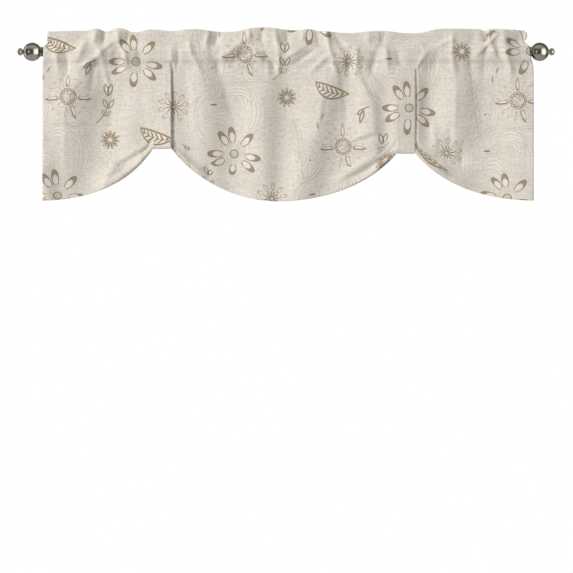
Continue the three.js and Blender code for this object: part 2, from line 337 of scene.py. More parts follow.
# Finials
# A turned and polished dark nickel ball at each end of the rod: a collar against the rod, a grooved neck,
# the ball, a thin neck and a small flattened knob. Sizes run outwards from the rod's end.
SEAT_GAP = 0.3
COLLAR_RADIUS = 13.2
COLLAR_END = 2.6
COLLAR_EDGE = 0.4
NECK_RADIUS = 11.6
BEAD_RADIUS = 14.3
BALL_RADIUS = 24.6
BALL_CENTRE = 25
KNOB_NECK_RADIUS = 5.4
KNOB_RADIUS = 9.8
KNOB_HALF_LENGTH = 7.8
KNOB_CENTRE = 57.2
FINIAL_SIDES = 72
FINIAL_ROUGHNESS = 0.17
FINIAL_COLOURS = ((0.34, 0.305, 0.245, 1), (0.58, 0.545, 0.48, 1))


def bulge(centre, radius, half_length, from_radius, to_radius, count):
    """Points on an arc of an ellipse about the axis, from one radius to another on its far side."""
    angle = np.linspace(-np.arccos(from_radius / radius), np.arccos(to_radius / radius), count)
    return list(zip(centre + half_length * np.sin(angle), radius * np.cos(angle)))


finial_profile = [
    (SEAT_GAP, 0),
    (SEAT_GAP, COLLAR_RADIUS - COLLAR_EDGE),
    (SEAT_GAP + COLLAR_EDGE, COLLAR_RADIUS),
    (COLLAR_END - COLLAR_EDGE, COLLAR_RADIUS),
    (COLLAR_END, COLLAR_RADIUS - COLLAR_EDGE),
    (COLLAR_END + 0.2, NECK_RADIUS),
    (COLLAR_END + 0.9, NECK_RADIUS),
    *bulge(COLLAR_END + 2.0, BEAD_RADIUS, 1.1, NECK_RADIUS + 0.6, NECK_RADIUS + 2.2, 7),
    *bulge(BALL_CENTRE, BALL_RADIUS, BALL_RADIUS, NECK_RADIUS + 2.4, KNOB_NECK_RADIUS + 1.4, 44),
    (BALL_CENTRE + BALL_RADIUS - 0.5, KNOB_NECK_RADIUS + 0.3),
    (BALL_CENTRE + BALL_RADIUS + 0.2, KNOB_NECK_RADIUS),
    *bulge(KNOB_CENTRE, KNOB_RADIUS, KNOB_HALF_LENGTH, KNOB_NECK_RADIUS + 0.2, 0.4, 22),
    (KNOB_CENTRE + KNOB_HALF_LENGTH, 0),
]
finial_nickel = brushed_metal("finial_nickel", FINIAL_COLOURS, FINIAL_ROUGHNESS)
for side, node in ((-1, "finial_left"), (1, "finial_right")):
    turned = [(side * (half_rod + along), out) for along, out in finial_profile]
    finial = turned_piece(node + "_turned", turned if side > 0 else turned[::-1], FINIAL_SIDES, finial_nickel)
    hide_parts(node)
    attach(finial, "root")


# Valance panel
# One width of printed slubby linen. Its top is turned over and sewn twice, which leaves a stand-up heading
# over a pocket for the rod. Its foot has a sewn hem, rolled up behind where the straps lift it.
CLOTH = 1.2
SOLID_CLOTH = 1.6
LEFT_EDGE, RIGHT_EDGE = -652, 663
HEADING_LEFT, HEADING_RIGHT = -639, 646
POCKET_LEFT, POCKET_RIGHT = -650, 653.5
END_PULL = 130
PULL_BLEND = 12
NOTCH = 9
NOTCH_HEIGHT = 27
NOTCH_HALF_HEIGHT = 6
NOTCH_REACH = 40
ROUNDED_CORNER = 14
CORNER_HEIGHTS = (46, 60)
HEADING_LAYERS = 2.2
HEADING_FOOT = 13.8
HEADING_FORWARD = 7.6
ROD_CLEARANCE = 0.8
POCKET_RADIUS = ROD_RADIUS + ROD_CLEARANCE + SOLID_CLOTH / 2
SEAM_LEFT, SEAM_RIGHT = -38, -48
SEAM_ALLOWANCE = 6
SEAM_LAYERS = 1.9
HEM_LOW = -399
SWAG_LOW_X, SWAG_LOW = -21, -401
HEM = 22
PRESSED_RADIUS = 1.3
ROLL_RADIUS = 11
ROLL_SHARES = (0.05, 0.7)
ROLL_SPREAD = 36
LAYER_GAP = 2.6
WRONG_SIDE_PRINT = 0.22
STRAP_THICK = 1.8
STRAP_WIDTH = 45
STRAP_PRESS = STRAP_WIDTH / 2 + 1.5
STRAP_ROLL = 3
SQUEEZE = 38
STRAPS = {"tie_strap_left": (-331.5, -260.5), "tie_strap_right": (322, -273.5)}
LEFT_STRAP, RIGHT_STRAP = STRAPS.values()

# The heading's upper edge at its crests and dips: place along the rod, height over it and lean forward.
HEADING = np.array([
    (-652, 54, 0), (-579, 55.5, 1), (-540, 55.5, 0), (-507, 61, 4), (-480, 54, -3), (-450, 63, 4),
    (-402, 52, -2), (-364, 59, 2), (-306, 55.5, -2), (-252, 60, 3), (-161, 53, -4), (-64, 64.5, 4),
    (32, 57, -2), (59, 60, 3), (95, 54.5, 0), (169, 50, -4), (247, 55.5, 2), (338, 49.5, -4),
    (429, 61.5, 4), (515, 60.5, 0), (531, 56, -3), (552, 61, 3), (614, 59, 1), (663, 57, -3),
])

# Fold lines from left to right: where each passes at the top, middle and low level, and how far it stands
# in front of the rod's plane at the middle level and at the hem.
FOLD_TOP, FOLD_MID, FOLD_LOW = -40, -143, -390
TOP_SHARE = 0.45
FOLDS = [
    (-652, -652, -652, 8, 27), (-540, -586, -600, 19, 9), (-484, -458, -536, -15, 2),
    (-400, -392, -400, -1, 10), (-302, -302, -302, 4, 5), (-270, -270, -270, 1.5, 3),
    (-220, -222, -214, 13.5, 2), (-176, -138, -150, -7, -6), (-62, -66, -58, 10, 13), (6, 6, -18, -5, 3),
    (133, 97, 32, 12, 15), (170, 164, 112, -5, -3), (198, 226, 248, 11, 11), (232, 262, 276, 0, 5),
    (388, 386, 384, -13, 10), (453, 455, 434, 9, -6), (540, 528, 512, -7, -10), (663, 663, 663, 18, 17),
]
FOLD_ROUNDING = 0.6
SEAM_FORWARD = 6.5
SEAM_FADE = 30
PRESS_SHORT = 8
PRESSED = (-STRAP_PRESS, STRAP_PRESS - PRESS_SHORT)
STRAP_DEPTHS = {LEFT_STRAP: (4.5, 10.5), RIGHT_STRAP: (8.5, 5.5)}
for (x, low), depths in STRAP_DEPTHS.items():
    FOLDS += [(x + beside, x + beside, x + beside, deep, deep) for beside, deep in zip(PRESSED, depths)]
FOLDS = np.array(sorted(FOLDS, key=lambda line: line[1]), float)

# Scallops from a low end to one side of a strap: where and how low the low end is, the strap, its side,
# the shares of the rise that grow with the square and the sixth power of the way, and the crease above.
SCALLOPS = [
    (LEFT_EDGE, HEM_LOW, LEFT_STRAP, -1, 0.7, 0.3, 6),
    (SWAG_LOW_X, SWAG_LOW, LEFT_STRAP, 1, 0.85, 0.15, 2.5),
    (SWAG_LOW_X, SWAG_LOW, RIGHT_STRAP, -1, 0.78, 0.22, 6.5),
    (RIGHT_EDGE, HEM_LOW, RIGHT_STRAP, 1, 0.75, 0.25, 6),
]
CREASE_OVER_HEM = 25
CREASE_HALF_WIDTH = 8
CREASE_SHARES = (0.08, 0.4)

# How finely the cloth is divided: stations along the rod, closer beside the straps, and rows of a section.
STATIONS = [
    (LEFT_EDGE, -419, 62), (-419, -320, 26), (-320, -286, 18), (-286, -239, 12), (-239, 233, 124),
    (233, 332, 26), (332, 366, 18), (366, 413, 13), (413, RIGHT_EDGE, 66),
]
HEM_ROWS = 8
ROLL_ROWS = 8
FRONT_ROWS = 54
OVER_SEAM = (0.36, 0.7)
FRONT_ANGLES = (-19, 10, 38)
BACK_ANGLES = (90, 120, 150, 180, 199)
SPLINE_STEPS = 4
BACK_STEPS = 2
STAND_POINTS = 4
FOOT_POINT = 1 + len(OVER_SEAM) + len(FRONT_ANGLES)
TOP_POINT = FOOT_POINT + STAND_POINTS
POCKET_SLACK = 5.5
FADE_ROWS = 4
HELD_BESIDE, HELD_HEIGHTS = (-1, 4), (-46, -30)
PUCKER = 1.1
TUCK_WAVES = (0.36, 0.05, 0.17)
SEAM_PUCKER_REACH = 9
FOOT_PUCKER, FOOT_PUCKER_REACH = 0.8, 8

# Where the print lies off its even repeat: how far it is moved, and the places between which that sets in.
TAIL_SHIFT = (4.5, -9)
TAIL_TO, TAIL_DOWN = (-440, -380), (30, 100)
SUNK_LEAF = 5
LEAF_TO, LEAF_HEIGHTS = (-620, -500), (-12, 18)
SUNK_MIDDLE = 7.5
MIDDLE_FROM, MIDDLE_TO, MIDDLE_HEIGHTS = (-40, 30), (150, 200), (0, 24)
LIFTED_STEM = 28
STEM_X, STEM_REACH, STEM_HEIGHTS = 448, 40, (30, 56)
PRINT_DRAWN_UP = 0.82
UNSQUEEZED_PRINT = 4
SQUEEZED_PRINT = 56
SQUEEZED_AT_LEFT = 18
TUCKED_PETAL = 13
PETAL_PLACE, PETAL_REACH = (-146, -331), (36, 20)

# Creases set in one by one. Each row: the two ends of its line, how far it stands forward and half its width.
CREASE_SHARP = 0.88
PEAK_ROUNDING = 1.5
PEAK_REACH = 0.7
LINE_ENDS = (0.12, 0.88)
GATHERED = 1.25
GATHERED_HEIGHTS = (-70, -36)
ON_ROD_FROM, ON_ROD_TO = (-34, -18), (12, 20)
CREASES = [
    # ridges and hollows of the gathered pocket and heading, left to right
    (-620, 18, -611, -52, 6.0, 11), (-592, 18, -583, -52, -5.5, 11), (-583, -48, -600, -90, -4.0, 10),
    (-536, 32, -560, -22, 7.5, 15), (-514, 28, -480, -36, 3.0, 8), (-562, -50, -494, -6, 6.0, 7),
    (-504, -4, -462, 28, 6.0, 8),
    (-510, 56, -514, 24, 5.0, 9), (-486, 54, -490, 20, -7.0, 9), (-450, 54, -449, 20, 6.5, 9),
    (-422, 50, -426, 18, -5.5, 10), (-451, 14, -448, -38, -8.0, 16), (-434, 12, -426, -48, 6.0, 8),
    (-396, 16, -386, -52, -5.0, 14), (-514, -26, -522, -100, -5.0, 11), (-497, -10, -470, -110, 4.5, 8),
    (-308, 18, -305, -46, 2.5, 8), (-289, 18, -289, -46, -3.5, 8), (-262, 32, -253, -10, 6.0, 10),
    (-253, -8, -226, -54, 5.0, 9), (-206, 58, -218, 8, 5.5, 9), (-182, 54, -196, -22, -8.0, 15),
    (-187, 2, -180, -54, -5.5, 10),
    (-172, -16, -110, 32, 6.5, 9), (-144, -28, -90, 6, -7.0, 11), (-100, 62, -98, 26, 5.5, 9),
    (-66, 60, -62, 22, -6.0, 10), (-88, 8, -60, -34, 5.5, 8), (-56, 0, -28, -46, -5.0, 10),
    (-30, 58, -20, 8, 6.0, 8), (-20, 8, -19, -62, 4.5, 7), (-48, -20, -46, -64, 4.0, 9),
    (2, 58, 6, 12, -5.0, 10), (4, -14, 64, 24, 4.5, 8), (20, -34, 84, 10, -5.0, 9),
    (64, -54, 116, -8, 4.5, 9), (46, 58, 42, 26, 4.0, 9), (78, 54, 92, 20, -4.0, 9),
    (106, 58, 120, -4, 6.5, 8), (120, -6, 136, -60, 5.0, 9),
    (128, 46, 172, -6, -6.5, 10), (172, -6, 167, -60, -7.0, 11), (190, 10, 188, -66, 5.5, 8),
    (247, 8, 226, -64, -5.0, 12), (220, 52, 222, 22, 4.5, 12), (262, 50, 258, 14, -4.5, 10),
    (266, 22, 274, -54, 6.5, 10), (296, 12, 310, -54, -4.5, 11), (384, 10, 347, -46, 3.5, 8),
    (410, 4, 388, -58, -3.5, 15), (396, 10, 444, 32, 5.0, 7), (447, 44, 443, -8, 6.0, 10),
    (443, -8, 453, -60, 6.0, 10), (502, 48, 494, -8, -3.0, 13), (492, -6, 500, -76, -5.0, 13),
    (512, -6, 572, 50, 5.0, 7), (547, 28, 562, -8, 5.0, 7), (528, 46, 540, 36, -3.0, 9),
    (538, 14, 534, -14, -5.0, 9), (532, -12, 526, -76, -3.0, 16), (568, 24, 576, -24, -3.0, 10),
    (590, 54, 595, -8, 7.5, 22), (595, -6, 604, -70, 5.5, 11),
    (634, 48, 652, -6, -7.5, 34), (652, -6, 650, -70, -7.0, 32),
    # sharper lines down the hanging cloth
    (-556, -66, -594, -160, 3.0, 10), (-594, -156, -594, -320, 2.0, 11),
    (-470, -70, -472, -210, -2.5, 12), (-252, -60, -246, -170, 2.5, 10),
    (-174, -60, -142, -190, -2.5, 12), (104, -60, 80, -240, 2.5, 12), (150, -60, 164, -190, -2.5, 10),
    (196, -44, 240, -132, -4.0, 9), (216, -40, 264, -124, 3.5, 9), (458, -70, 450, -230, 2.5, 12),
    # the cloth drops back beside the straps' right edges
    (-306, -30, -306, -258, -6.0, 2.8), (-306, -40, -306, -130, -5.0, 2.8),
    (349, -46, 349, -258, -4.5, 3.6),
    # drag lines to the straps' lower ends, and swells and hollows over the hem
    (-456, -296, -366, -246, 5.0, 10), (-446, -306, -366, -256, -5.5, 7),
    (-500, -392, -464, -303, 9.0, 24), (-668, -404, -654, -372, -13.0, 31),
    (-660, -290, -658, -346, 8.0, 32), (-452, -356, -400, -312, -8.0, 11), (-208, -300, -204, -366, -6.0, 20),
    (-216, -262, -292, -236, 4.0, 12), (-206, -302, -290, -266, -4.0, 9),
    (186, -240, 246, -226, -6.5, 7), (170, -238, 238, -214, 4.5, 9),
    (140, -344, 228, -286, 9.0, 14), (236, -288, 296, -256, 4.5, 12), (190, -345, 256, -292, -8.0, 13),
    (396, -190, 400, -268, 5.5, 13), (440, -200, 440, -270, -6.0, 18),
    (388, -280, 480, -296, -8.0, 15), (416, -296, 424, -326, 4.0, 20),
    (474, -244, 468, -310, -8.0, 24), (398, -236, 466, -238, 3.5, 11),
    (384, -298, 470, -332, 3.0, 11), (452, -340, 496, -360, 3.5, 9),
]


def ease(value, start, end):
    """0 before start and 1 after end, and 3t^2 - 2t^3 of the way t between them."""
    t = np.clip((value - start) / (end - start), 0, 1)
    return t * t * (3 - 2 * t)


def mix(a, b, share):
    return a + (b - a) * share


def half_waves(x, line_x, rounding, *columns):
    """Half waves through lines: each column's value at x between the two lines beside it, going over
    straight where rounding is 0 and level at each line where it is 1."""
    x = np.broadcast_to(x, line_x.shape[1:])
    after = np.clip((line_x <= x).sum(0), 1, len(line_x) - 1)[None]
    pick = lambda values, index: np.take_along_axis(np.broadcast_to(values, line_x.shape), index, 0)[0]
    start, end = pick(line_x, after - 1), pick(line_x, after)
    t = np.clip((x - start) / (end - start), 0, 1)
    share = t - rounding * np.sin(2 * np.pi * t) / (2 * np.pi)
    return [mix(pick(values, after - 1), pick(values, after), share) for values in columns]


def fold_depth(x, z):
    """How far the hanging cloth stands forward: half waves between the fold lines as they run at height z."""
    x_top, x_mid, x_low, deep, deep_low = FOLDS.T.reshape(5, -1, *[1] * np.ndim(z))
    up = ease(z, FOLD_MID, FOLD_TOP)
    down = np.clip((FOLD_MID - z) / (FOLD_MID - FOLD_LOW), 0, 1)
    line_x = x_mid + (x_top - x_mid) * up + (x_low - x_mid) * down
    line_deep = deep * (1 + (TOP_SHARE - 1) * up) + (deep_low - deep) * down
    over_pocket = SEAM_FORWARD * ease(z, FOLD_MID - SEAM_FADE, FOLD_TOP)
    return half_waves(x, line_x, FOLD_ROUNDING, line_deep)[0] + over_pocket


def lower_edge(x):
    """The scallop at x: the edge's height, its lowest height, the share of the lift reached there, and how
    deep the crease over the hem is."""
    low, high, share, crease = np.zeros((4, len(x)))
    for low_x, low_z, (strap_x, strap_low), side, rounded, steep, deep in SCALLOPS:
        here = (x - low_x) * (x - strap_x) <= 0
        t = np.clip((x - low_x) / (strap_x + side * STRAP_PRESS - low_x), 0, 1)
        low[here] = low_z
        high[here] = strap_low + STRAP_THICK + SEAT_GAP
        share[here] = (rounded * t**2 + steep * t**6)[here]
        crease[here] = deep * ease(share, *CREASE_SHARES)[here]
    return mix(low, high, share), low, share, crease


def roll_radius(x, share):
    """The radius of the lower edge's roll: pressed flat where the hem hangs free, full beside a strap and
    squeezed under it."""
    free = mix(PRESSED_RADIUS, ROLL_RADIUS, ease(share, *ROLL_SHARES))
    reach = np.min([np.abs(x - strap_x) for strap_x, low in STRAPS.values()], axis=0)
    return mix(STRAP_ROLL, free, ease(reach, STRAP_PRESS, STRAP_PRESS + SQUEEZE))


def drawn_in(x, z):
    """Where a station is at height z: the pocket's and the heading's ends are drawn in along the rod."""
    up = ease(z, ROD_RADIUS, ROD_RADIUS + PULL_BLEND)
    held = ease(z, SEAM_RIGHT, 0)
    left = mix((POCKET_LEFT - LEFT_EDGE) * held, HEADING_LEFT - LEFT_EDGE, up)
    right = mix((POCKET_RIGHT - RIGHT_EDGE) * held, HEADING_RIGHT - RIGHT_EDGE, up)
    notch = NOTCH * np.exp(-((z - NOTCH_HEIGHT) / NOTCH_HALF_HEIGHT) ** 2)
    notch = notch + ROUNDED_CORNER * ease(z, *CORNER_HEIGHTS) ** 2
    right = right * ease(x, RIGHT_EDGE - END_PULL, RIGHT_EDGE)
    right = right - notch * ease(x, RIGHT_EDGE - NOTCH_REACH, RIGHT_EDGE)
    return x + left * (1 - ease(x, LEFT_EDGE, LEFT_EDGE + END_PULL)) + right


def creases(x, z):
    """The listed creases, each a ridge or trough that falls off to both sides of its line: half of it as a
    bell curve, half of it as a peak whose height falls by a constant share in each millimetre."""
    total = np.zeros(np.broadcast(x, z).shape)
    for x0, z0, x1, z1, forward, half_width in CREASES:
        run_x, run_z = x1 - x0, z1 - z0
        share = np.clip(((x - x0) * run_x + (z - z0) * run_z) / (run_x**2 + run_z**2), 0, 1)
        away = (x - x0 - share * run_x) ** 2 + (z - z0 - share * run_z) ** 2
        reach = CREASE_SHARP * half_width
        peak = np.exp((PEAK_ROUNDING - np.sqrt(away + PEAK_ROUNDING**2)) / (PEAK_REACH * reach))
        across_line = mix(np.exp(-away / reach**2), peak, 0.5)
        total += forward * np.sin(np.pi * mix(*LINE_ENDS, share)) * across_line
    total *= mix(1, GATHERED, ease(z, *GATHERED_HEIGHTS))
    round_rod = ease(z, *ON_ROD_FROM) * (1 - ease(z, *ON_ROD_TO))
    return mix(total, np.maximum(total + POCKET_SLACK, 0), round_rod)


def spline(points, steps):
    """A smooth curve through rows of points: cubic stretches whose slope at a point follows the points to
    both sides of it."""
    padded = np.concatenate([2 * points[:1] - points[1:2], points, 2 * points[-1:] - points[-2:-1]])
    p0, p1, p2, p3 = (padded[i : len(points) - 1 + i, None] for i in range(4))
    t = (np.arange(steps) / steps).reshape(1, -1, 1, 1)
    curve = (2 * p1 + (p2 - p0) * t + (2 * p0 - 5 * p1 + 4 * p2 - p3) * t**2
             + (3 * p1 - p0 - 3 * p2 + p3) * t**3) / 2
    return np.concatenate([curve.reshape(-1, *points.shape[1:]), points[-1:]])


class Section:
    """What the sections of the cloth at the stations x need: seam, roll and the depths of the two legs."""

    def __init__(self, x):
        self.x = x
        self.edge, low, share, self.crease = lower_edge(x)
        self.radius = roll_radius(x, share)
        self.roll_centre = self.edge + SOLID_CLOTH / 2 + self.radius
        self.hem_top = self.roll_centre + HEM + self.edge - low
        self.seam = mix(SEAM_LEFT, SEAM_RIGHT, (x - LEFT_EDGE) / (RIGHT_EDGE - LEFT_EDGE))

    def settle(self, z):
        return ease(z, self.roll_centre, self.roll_centre + ROLL_SPREAD)

    def front(self, z):
        return fold_depth(self.x, z) + self.radius * (1 - self.settle(z))

    def back(self, z):
        return fold_depth(self.x, z) - mix(self.radius, LAYER_GAP, self.settle(z))


def rows_between(start, end, count):
    """Rows of heights from start to end at every station."""
    return start + (end - start) * np.linspace(0, 1, count)[:, None]


def half_circle(section, radius, count):
    """Points of the roll under the cloth, from its back leg to its front leg."""
    angle = np.linspace(np.pi, 0, count)[:, None]
    middle = (section.front(section.roll_centre) + section.back(section.roll_centre)) / 2
    return np.stack([middle + radius * np.cos(angle), section.roll_centre - radius * np.sin(angle)], axis=-1)


def pocket_ring(angles, count):
    """Points round the rod at angles up from straight forward, the same at every station."""
    turn = np.radians(angles)[:, None] * np.ones(count)
    return POCKET_RADIUS * np.stack([np.cos(turn), np.sin(turn)], axis=-1)


def cloth_sections(section):
    """Depth and height of the cloth's middle at every station, row by row: from the hem's free end down the
    back, round the roll, up the front, over the heading and down the back of the pocket to its seam."""
    x, seam = section.x, section.seam
    rise, lean = half_waves(x, HEADING[:, :1] + 0 * x, 1, HEADING[:, 1:2], HEADING[:, 2:3])
    top = rise - SOLID_CLOTH / 2
    half = HEADING_LAYERS / 2
    leaning = lambda z: HEADING_FORWARD + lean * (z - HEADING_FOOT) / (top - HEADING_FOOT)
    stand = rows_between(HEADING_FOOT, top - half, STAND_POINTS)
    pair = lambda depth, z: np.stack(np.broadcast_arrays(depth, z), axis=-1)
    hem = rows_between(section.hem_top, section.roll_centre, HEM_ROWS)
    face = rows_between(section.roll_centre, seam, FRONT_ROWS)
    back_seam = seam - SEAM_ALLOWANCE
    at_seam = pair(section.front(seam), seam)
    behind = pair(section.front(seam) - SEAM_LAYERS, seam)
    front_ring = pocket_ring(FRONT_ANGLES, len(x))
    back_ring = pocket_ring(BACK_ANGLES, len(x))
    upper = np.concatenate([
        at_seam[None],
        *[mix(at_seam, front_ring[0], share)[None] for share in OVER_SEAM],
        front_ring,
        pair(leaning(stand) + half, stand),
        pair(leaning(top), top)[None],
        pair(leaning(stand) - half, stand)[::-1],
        back_ring,
        mix(behind, back_ring[-1], 0.5)[None],
        behind[None],
        pair(section.front(back_seam) - SEAM_LAYERS, back_seam)[None],
    ])
    curve = spline(upper, SPLINE_STEPS)
    top_point = SPLINE_STEPS * TOP_POINT
    return np.concatenate([
        pair(np.stack([section.back(z) for z in hem]), hem),
        half_circle(section, section.radius, ROLL_ROWS + 2)[1:-1],
        pair(np.stack([section.front(z) for z in face]), face)[:-1],
        curve[:top_point],
        curve[top_point :: SPLINE_STEPS // BACK_STEPS],
    ])


def along_rows(grid):
    """The way along each station's path to every row of points, in the same unit as the points."""
    steps = np.linalg.norm(np.diff(grid, axis=0), axis=-1)
    return np.concatenate([np.zeros((1, grid.shape[1])), np.cumsum(steps, axis=0)])


def across(grid):
    """Unit directions square to a grid of points, from its two neighbouring differences."""
    normal = np.cross(np.gradient(grid, axis=1), np.gradient(grid, axis=0))
    return normal / np.linalg.norm(normal, axis=-1, keepdims=True)


def lay_print(piece, pattern, corners, shares):
    """Gives a cloth piece its UV map, each point's place on the flat cloth, and how much of the print each
    face shows: all of it on the right side, a little on the wrong side."""
    uv_map = piece.data.uv_layers.new(name="cloth")
    uv_map.uv.foreach_set("vector", pattern[corners].astype(np.float32).ravel())
    piece.data.attributes.new("print_share", "FLOAT", "FACE").data.foreach_set("value", shares)


def sheet_piece(name, grid, thick, pattern, material):
    """A closed thin sheet about a grid of points: its right side, its wrong side and the rim between them."""
    rows, columns = grid.shape[:2]
    offset = across(grid) * thick / 2
    points = np.concatenate([(grid + offset).reshape(-1, 3), (grid - offset).reshape(-1, 3)]) * MM
    number = np.arange(rows * columns).reshape(rows, columns)
    back = number + rows * columns
    front_faces = quads(rows, columns)
    back_faces = front_faces[:, ::-1] + rows * columns
    rim = np.concatenate([number[0, :], number[1:, -1], number[-1, -2::-1], number[-2:0:-1, 0]])
    behind = np.concatenate([back[0, :], back[1:, -1], back[-1, -2::-1], back[-2:0:-1, 0]])
    rim_faces = np.stack([np.roll(rim, -1), rim, behind, np.roll(behind, -1)], axis=1)
    faces = np.concatenate([front_faces, back_faces, rim_faces])
    piece = new_piece(name, points, faces.tolist(), material)
    shares = np.ones(len(faces))
    shares[len(front_faces) : len(front_faces) + len(back_faces)] = WRONG_SIDE_PRINT
    lay_print(piece, np.concatenate([pattern.reshape(-1, 2)] * 2), faces, shares)
    return piece


# The print
# Brown flowers, leaves and small marks, and pale scrolling stems between them, on a repeat that steps up to
# the right and down to the right. Lengths are in millimetres on the flat cloth.
REPEAT = np.array([(468.7, 122.7), (263.4, -246.8)])
FLOWER = (-138.8, -273.4)
FLOWER_PETALS = (46.5, 97, 125, 180, 209, 265, 317, 348)
END_FLOWER = (664, 1, 0)
END_TURN = 26.5
END_FROM, END_LEVEL = 546, -22
END_TIP_FROM, END_TIP_LOWER = 604, 40
END_SOFT = 0.1
END_LEAVES = (((536, 38), 60), ((550, 49), 33))
SUNBURST = (-110.1, -7.1)
SUNBURST_PETALS = (92, -5.5, 187, 289)
DAISY = (2.1, -122.7)
STARBURST = (167, -24.9)
LEAF = (124.4, -97)
LEAF_TURN = -19.5
LEAF_HALF_LENGTH = 48.5
SPRIG = (-10, -30)
# a sprig's leaves: each one's foot, its lean to the right in degrees and its size
SPRIG_LEAVES = [
    ((6, 26), -15, 1.0), ((7, 26), 16, 1.0), ((5, -8), -26, 0.8), ((8, -8), 28, 0.8),
    ((-2, -29), -20, 0.56), ((1, -29), 40, 0.56),
]
DASHES = (-194, -91)
TWIG = (146, -180)
EAR = (-228.8, -12)
EAR_TURN = 99
EAR_HALF_LENGTH = 84
EAR_PITCH = 34
SCROLL = (-138.8, -123.4)
# sweeps of the scroll, each a crescent of fine strands between two arcs that meet at both ends: the arcs'
# middle, the inner radius, the gap between them, the crescent's bearing and half spread in degrees, strands
SWEEPS = [
    (0, -51, 96, 8, 138, 84, 1), (-94, -39, 142, 34, 0, 28, 3), (0, -51, 58, 30, 80, 46, 3),
    (-46, -100, 32, 34, 78, 52, 3), (-27, 14, 7, 10, 200, 150, 1), (12, -16, 9, 16, 20, 150, 2),
    (-137, 97, 97, 16, -18, 42, 2), (0, -51, 108, 16, 188, 40, 2), (50, -354, 396, 6, 90, 9, 1),
    (70, 96, 44, 18, 235, 46, 2), (190, -30, 112, 14, 113, 28, 2),
]
WANDER = 15


def nearest_copy(uv, middle):
    """The way to a point from the nearest copy of a motif's middle: its place in the two repeat steps, less
    whole steps, turned back into millimetres."""
    away = uv.vector("SUBTRACT", (*middle, 0))
    steps = [away.vector("DOT_PRODUCT", (*row, 0)) for row in np.linalg.inv(REPEAT.T)]
    first, second = [step - step.math("ROUND") for step in steps]
    return [first * float(REPEAT[0, i]) + second * float(REPEAT[1, i]) for i in (0, 1)]


def moved(x, z, middle, turn=0.0):
    """A point seen from a motif's own middle, with the motif turned by an angle in degrees."""
    cos, sin = math.cos(math.radians(turn)), math.sin(math.radians(turn))
    x, z = x - middle[0], z - middle[1]
    return (x * cos + z * sin, z * cos - x * sin) if turn else (x, z)


def length(x, z):
    return (x * x + z * z).math("SQRT")


def around(x, z, count, turn=0.0):
    """A point carried into the first of count equal sectors: along the sector's middle line and beside it."""
    sector = 2 * math.pi / count
    angle = z.math("ARCTAN2", x) - math.radians(turn)
    off = angle - (angle / sector).math("ROUND") * sector
    out = length(x, z)
    return out, out * off.math("COSINE"), out * off.math("SINE")


def spokes(x, z, bearings):
    """A point seen from the nearest of uneven spokes: the largest of its projections on them, and what is
    left beside that one."""
    reaches = [moved(x, z, (0, 0), bearing)[0] for bearing in bearings]
    along = reaches[0]
    for reach in reaches[1:]:
        along = along | reach
    out = length(x, z)
    return out, along, (out * out - along * along | 0.0).math("SQRT")


def almond(along, beside, middle, half_length, half_width, belly=0.0):
    """Under 1 inside an ellipse that is fuller towards its far end by the share belly."""
    q = (along - middle) / half_length
    return length(q, beside / ((q * belly + 1) * half_width))


def pointed(along, beside, half_length, half_width):
    """Under 1 inside a leaf with two pointed ends and parabola sides."""
    q = along / half_length
    return q * q + abs(beside) / half_width


def arc_distance(x, z, middle, radius, bearing, spread):
    """How far a point is from an arc: from the circle's point at the nearest bearing within the spread."""
    x, z = moved(x, z, middle, bearing)
    turn = abs(z).math("ARCTAN2", x).math("MINIMUM", math.radians(spread))
    return length(x - turn.math("COSINE") * radius, abs(z) - turn.math("SINE") * radius)


def turned_over(uv):
    """A place on the print. The gathered right end of the heading shows another stretch of it, turned a
    little, so places there are moved to one flower and turned about its eye."""
    x = uv.node("SeparateXYZ", sockets={0: uv})
    z = x.other("Y")
    lower = (1 - x.under(END_TIP_FROM, END_SOFT)) * END_TIP_LOWER
    at_end = (1 - x.under(END_FROM, END_SOFT)) * (1 - (z + lower).under(END_LEVEL, END_SOFT))
    eye = (*(np.array(FLOWER) + 2 * REPEAT[0]), 0)
    shown = uv.vector("ADD", tuple(np.subtract(eye, END_FLOWER)))
    turn = {"Vector": shown, "Center": eye, "Angle": math.radians(END_TURN)}
    return at_end.blend(uv, uv.node("VectorRotate", {"rotation_type": "Z_AXIS"}, turn))


def flower_ink(uv):
    """Eight uneven petals about a ringed eye: each a thin brown outline, open towards the eye, with a filled
    tip. The other wires are the light inside the petals and the pale rays about the eye."""
    x, z = nearest_copy(uv, FLOWER)
    out, along, beside = spokes(x, z, FLOWER_PETALS)
    petal = almond(along, beside, middle=49, half_length=23.5, half_width=10, belly=0.08)
    opening = almond(along, beside, middle=39, half_length=19, half_width=8.2).under(1, 0.08)
    clear_of_eye = 1 - out.under(30.5, 2.5)
    outline = abs(petal - 0.89).under(0.11, 0.07)
    tip = (petal.under(1, 0.06) - opening | 0.0) * 0.86
    eye = abs(out - 10.6).under(1.5, 0.7) | out.under(9, 1) * 0.22 | abs(out - 4.5).under(0.9, 0.6) * 0.4
    out, along, beside = around(x, z, count=34)
    rays = abs(beside).under(0.7, 0.6) * abs(out - 23).under(8, 4)
    return (outline | tip) * clear_of_eye | eye, opening * clear_of_eye, rays


